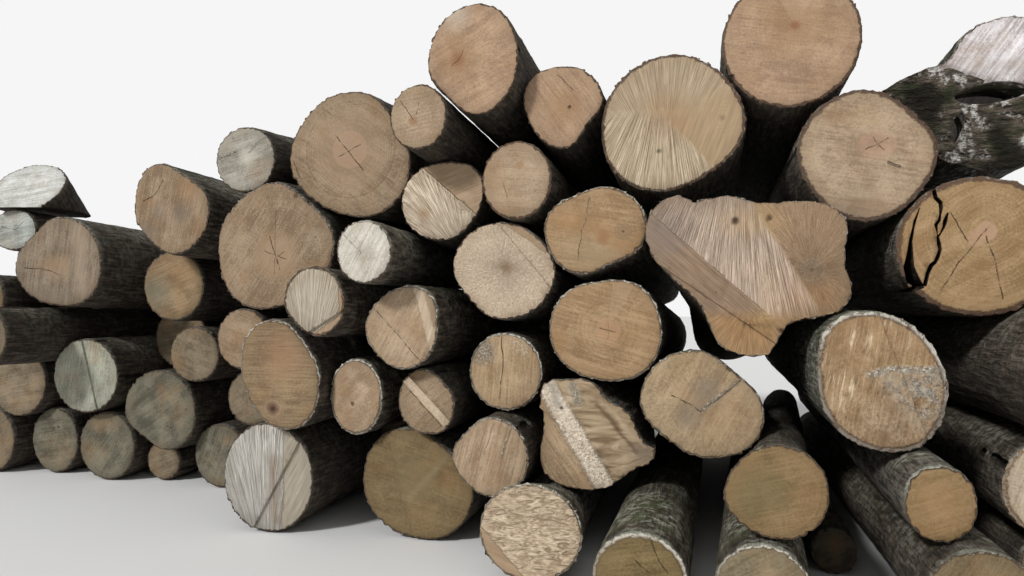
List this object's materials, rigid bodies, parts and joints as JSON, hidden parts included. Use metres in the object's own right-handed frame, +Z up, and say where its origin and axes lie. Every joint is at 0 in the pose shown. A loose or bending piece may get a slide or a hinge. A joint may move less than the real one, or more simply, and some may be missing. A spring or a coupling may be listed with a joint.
{
  "type": "stack of logs",
  "caption": "Stack of hardwood logs lying lengthwise on one another, sawn ends at the front, with a lobed root-flare log and a split log.",
  "frame": {"origin": "middle of the stack's footprint, on the ground", "axes": "+X along the stack to the right as seen from its front, +Y from the front ends to the back, +Z up"},
  "size_m": [7.818, 6.2, 3.101],
  "materials": {
    "beech_butt": "tan end grain, grey-brown bark",
    "white_butt": "weathered whitish end grain, grey bark",
    "orange_butt": "orange-tan end grain, brown bark"
  },
  "bodies": {
    "root": {"log_01": "white_butt", "log_02": "white_butt", "log_03": "beech_butt", "log_04": "beech_butt", "log_05": "beech_butt", "log_06": "beech_butt", "log_07": "beech_butt", "log_08": "beech_butt", "log_09": "beech_butt", "log_10": "beech_butt", "log_11": "beech_butt", "log_12": "beech_butt", "log_13": "beech_butt", "log_14": "beech_butt", "log_15": "white_butt", "log_16": "white_butt", "log_17": "beech_butt", "log_18": "beech_butt", "log_19": "beech_butt", "log_20": "beech_butt", "log_21": "beech_butt", "log_22": "orange_butt", "log_23": "beech_butt", "log_24": "beech_butt", "log_25": "beech_butt", "log_26": "beech_butt", "log_27": "beech_butt", "log_28": "beech_butt", "log_29": "beech_butt", "log_30": "beech_butt", "log_31": "beech_butt", "log_32": "beech_butt", "log_33": "beech_butt", "log_34": "beech_butt", "log_35": "beech_butt", "log_36": "beech_butt", "log_37": "beech_butt", "log_38": "beech_butt", "log_39": "beech_butt", "log_40": "beech_butt", "log_41": "beech_butt", "log_42": "beech_butt", "log_43": "orange_butt", "log_44": "beech_butt", "log_45": "beech_butt", "log_46": "orange_butt", "log_47": "orange_butt", "log_48": "beech_butt", "log_49": "beech_butt", "log_50": "orange_butt", "log_51": "orange_butt", "log_52": "orange_butt", "log_53": "orange_butt", "log_54": "beech_butt", "log_55": "beech_butt", "log_56": "beech_butt", "log_57": "beech_butt", "log_58": "beech_butt", "log_59": "beech_butt", "log_60": "beech_butt"}
  },
  "joints": []
}
